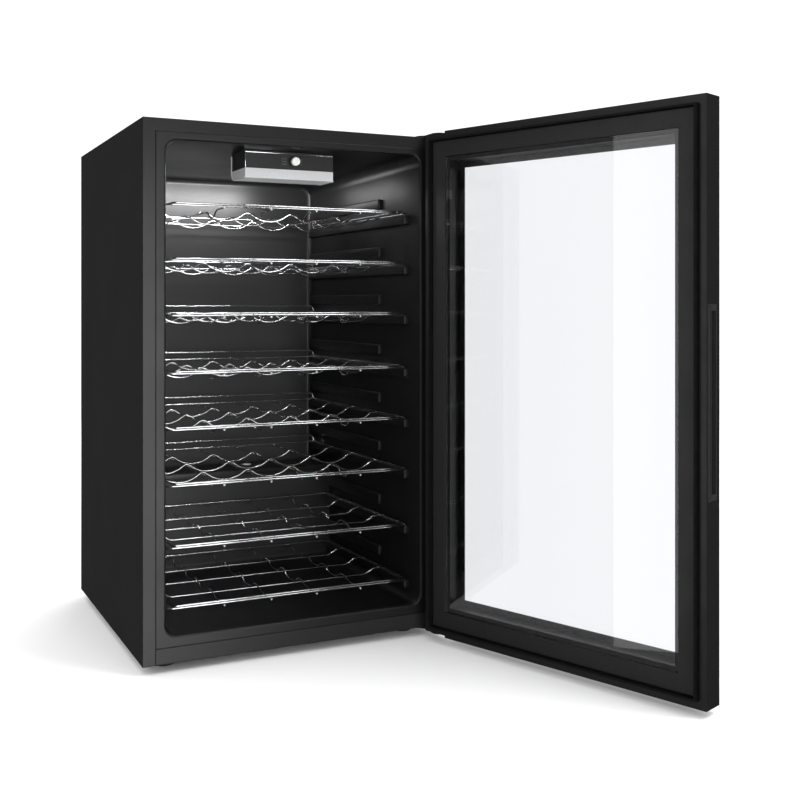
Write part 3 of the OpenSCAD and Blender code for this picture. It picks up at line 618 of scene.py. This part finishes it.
def make_ledges():
    """Moulded ledges under the shelves and tip-stop guides above them, on both walls."""
    bm = bmesh.new()
    wall = OPEN_X - 1 * MM
    for i, node in enumerate(SHELVES):
        z = shelf_level(node, i)
        y_end = WALL_BACK - 1 * MM if i < WAVY else STEP_FRONT + 1 * MM
        top = z - 1.9 * MM
        ledge = (203.2 * MM, FRONT + 40 * MM, top - 15.4 * MM, top)
        guide = (205.2 * MM, FRONT + 145 * MM, z + 16 * MM, z + 34 * MM)
        for side in (-1, 1):
            for x_in, y0, z0, z1 in (ledge, guide):
                xa, xb = sorted((side * x_in, side * wall))
                add_block(bm, (xa, y0, z0), (xb, y_end, z1), 2.2 * MM, 4)
    object_from("liner_ledges", bm, "liner", "cabinet")


# ---------------------------------------------------------------- door


def add_door_ring(bm, outer, inner, y0, y1):
    """A flat rectangular ring between two insets from the closed door's edge."""
    x0, x1, z0, z1 = DOOR_X0, DOOR_X1, DOOR_LO.z, DOOR_HI.z
    add_block(bm, (x0 + outer, y0, z0 + outer), (x0 + inner, y1, z1 - outer))
    add_block(bm, (x1 - inner, y0, z0 + outer), (x1 - outer, y1, z1 - outer))
    add_block(bm, (x0 + inner, y0, z0 + outer), (x1 - inner, y1, z0 + inner))
    add_block(bm, (x0 + inner, y0, z1 - inner), (x1 - inner, y1, z1 - outer))


def make_glass_prints():
    """Black bands fired onto the two panes, just inside the glass where it is backed."""
    turn = Matrix.Rotation(DOOR_OPEN, 4, "Z")
    about_pin = Matrix.Translation(PIN) @ turn @ Matrix.Translation(-PIN)
    skin = 0.03 * MM  # glass left between a band and what backs the pane
    outer_y = DOOR_FRONT + PANE_T - skin - BAND_T
    inner_y = DOOR_BACK - PANE_SETBACK - PANE_T + skin
    bands = [("outer_pane_band", 3.5 * MM, BORDER_W, outer_y),
             ("inner_pane_band", PANE_INSET + 0.5 * MM, PANE_INSET + SPACER_W, inner_y)]
    for name, outer, inner, y in bands:
        bm = bmesh.new()
        add_door_ring(bm, outer, inner, y, y + BAND_T)
        bmesh.ops.transform(bm, matrix=about_pin, verts=bm.verts)
        object_from(name, bm, "print", "door")


# ---------------------------------------------------------------- control box


def make_control_marks():
    """Printed dots either side of the knob."""
    bm = bmesh.new()
    knob_x = (KNOB_LO.x + KNOB_HI.x) / 2
    knob_z = (KNOB_LO.z + KNOB_HI.z) / 2
    half_x, half_z, row_pitch = 0.5 * MM, 0.4 * MM, 4.2 * MM
    for row in (-1, 0, 1):
        z = knob_z + row * row_pitch
        for dx in (-20, -17, -14, 13):
            x = knob_x + dx * MM
            add_block(bm, (x - half_x, FASCIA_LO.y - 0.15 * MM, z - half_z),
                      (x + half_x, FASCIA_BACK, z + half_z))
    object_from("fascia_marks", bm, "mark", "cabinet")


def make_fascia_trim():
    """Bright strip along the top and the left end of the fascia."""
    bm = bmesh.new()
    lo, hi = FASCIA_LO, FASCIA_HI
    width, proud, edge = 0.9 * MM, 0.35 * MM, 0.2 * MM
    add_block(bm, (lo.x, lo.y - proud, hi.z - width), (hi.x, FASCIA_BACK, hi.z), edge)
    add_block(bm, (lo.x, lo.y - proud, lo.z), (lo.x + width, FASCIA_BACK, hi.z - width), edge)
    object_from("fascia_trim", bm, "bright", "cabinet")


def make_control_ends():
    """Silvery moulded edge round the rear and underside of the box's two ends, glowing in the lamp
    lens's material as a painted highlight.
    """
    y_back, radius = LENS_HI.y - 0.6 * MM, 14 * MM
    bottom = LENS_LO.z + 0.4 * MM
    edge_x, edge_r = LENS_HI.x + 0.1 * MM, 1.1 * MM
    turn = arc(y_back - radius, bottom + radius, radius, 0, -90, 8)
    outline = [(y_back, FASCIA_HI.z - 1 * MM)] + turn + [(LENS_LO.y + 1 * MM, bottom)]
    wires = [([(side * edge_x, y, z) for y, z in outline], edge_r) for side in (-1, 1)]
    # the trim takes the lamp lens's glowing material: its glow is a painted highlight on the box's
    # curved end edges
    wire_curve("control_end_trim", wires, "lens", "cabinet")


# ---------------------------------------------------------------- stage


def make_floor():
    """Plain pale floor, left out of mirrored views and of the view through the glass."""
    bm = bmesh.new()
    bmesh.ops.create_grid(bm, x_segments=2, y_segments=2, size=8.0)
    mesh = bpy.data.meshes.new("floor")
    bm.to_mesh(mesh)
    bm.free()
    floor = bpy.data.objects.new("floor", mesh)
    bpy.context.scene.collection.objects.link(floor)
    mat, tree, bsdf = new_material("pale_floor", (0.975, 0.975, 0.975), 0.85, specular=0.0)
    vary_color(tree, bsdf, noise(tree, 2, 2), (0.97, 0.97, 0.97), (0.98, 0.98, 0.98))
    floor.data.materials.append(mat)
    floor.visible_glossy = False
    floor.visible_transmission = False


def area_light(name, place, target, size, power, size_y=None):
    """A soft light aimed at target, square unless size_y is given, that is never seen itself."""
    light = bpy.data.lights.new(name, "AREA")
    light.energy = power
    light.size = size
    if size_y:
        light.shape = "RECTANGLE"
        light.size_y = size_y
    obj = bpy.data.objects.new(name, light)
    bpy.context.scene.collection.objects.link(obj)
    obj.location = place
    obj.rotation_euler = (Vector(target) - Vector(place)).to_track_quat("-Z", "Y").to_euler()
    obj.visible_camera = False
    obj.visible_transmission = False


def make_world():
    """White to the eye, through the glass and as a light; dark where it is mirrored."""
    world = bpy.data.worlds.new("studio")
    bpy.context.scene.world = world
    world.use_nodes = True
    tree = world.node_tree
    background = tree.nodes["Background"]
    paths = tree.nodes.new("ShaderNodeLightPath")
    strength = tree.nodes.new("ShaderNodeMapRange")
    strength.inputs["To Min"].default_value = WHITE_SEEN
    strength.inputs["To Max"].default_value = WHITE_MIRRORED
    mirrored = tree.nodes.new("ShaderNodeMath")
    mirrored.operation = "SUBTRACT"
    link(tree, paths.outputs["Is Glossy Ray"], mirrored.inputs[0])
    link(tree, paths.outputs["Is Transmission Ray"], mirrored.inputs[1])
    link(tree, mirrored.outputs["Value"], strength.inputs["Value"])
    link(tree, strength.outputs["Result"], background.inputs["Strength"])
    background.inputs["Color"].default_value = (1, 1, 1, 1)


def make_lights():
    """Soft boxes ahead, at the left, behind and above, and small ones for the lamp inside."""
    area_light("front_box", (0.12, -2.7, -0.08), (0.1, -0.2, -0.08), 0.85, 41, 2.16)
    area_light("left_strip", (-1.8, -0.45, 0.5), (0.4, -0.7, 0.5), 0.6, 7.5, 2.2)
    area_light("rear_box", (1.3, 2.8, 0.9), (0.1, 0.2, 0.4), 1.6, 44, 1.0)
    area_light("top_box", (0.4, 0.6, 2.8), (0.2, 0, 0), 1.6, 10)
    area_light("high_box", (1.1, -1.6, 2.3), (0, -0.1, 0.4), 0.8, 22)
    y = (LENS_LO.y + LENS_HI.y) / 2
    z = (LENS_LO.z + LENS_HI.z) / 2
    area_light("lamp_down", (0, y, LENS_LO.z - 3 * MM), (0, y + 0.04, 0), 0.12, 0.35, 0.05)
    area_light("lamp_right", (0.14, 0.06, z), (0.21, 0.06, z - 0.01), 0.22, 0.08, 0.03)
    area_light("lamp_left", (-0.12, y, z), (-0.21, y + 0.07, z - 0.035), 0.03, 0.12, 0.02)
    area_light("lamp_back", (0, 0.10, z), (0, WALL_BACK, z - 0.10), 0.2, 1.1, 0.02)


def make_camera():
    """Level view from the front left, a little above the cabinet's middle."""
    camera = bpy.data.cameras.new("camera")
    camera.lens = 48.9
    camera.sensor_width = 36
    camera.shift_x = 0.0265
    camera.shift_y = -0.1216
    obj = bpy.data.objects.new("camera", camera)
    bpy.context.scene.collection.objects.link(obj)
    obj.location = (-0.626, -1.8372, 0.5516)
    obj.rotation_euler = (math.radians(90), 0, math.radians(-25.6))
    bpy.context.scene.camera = obj
    bpy.context.scene.view_settings.view_transform = "Standard"


# ---------------------------------------------------------------- build

make_camera()
make_floor()
make_world()
make_lights()
paint_nodes()
make_shelves()
make_liner()
make_step()
make_ledges()
make_glass_prints()
make_control_marks()
make_fascia_trim()
make_control_ends()
for node, width in EDGES.items():
    soften(node, width)
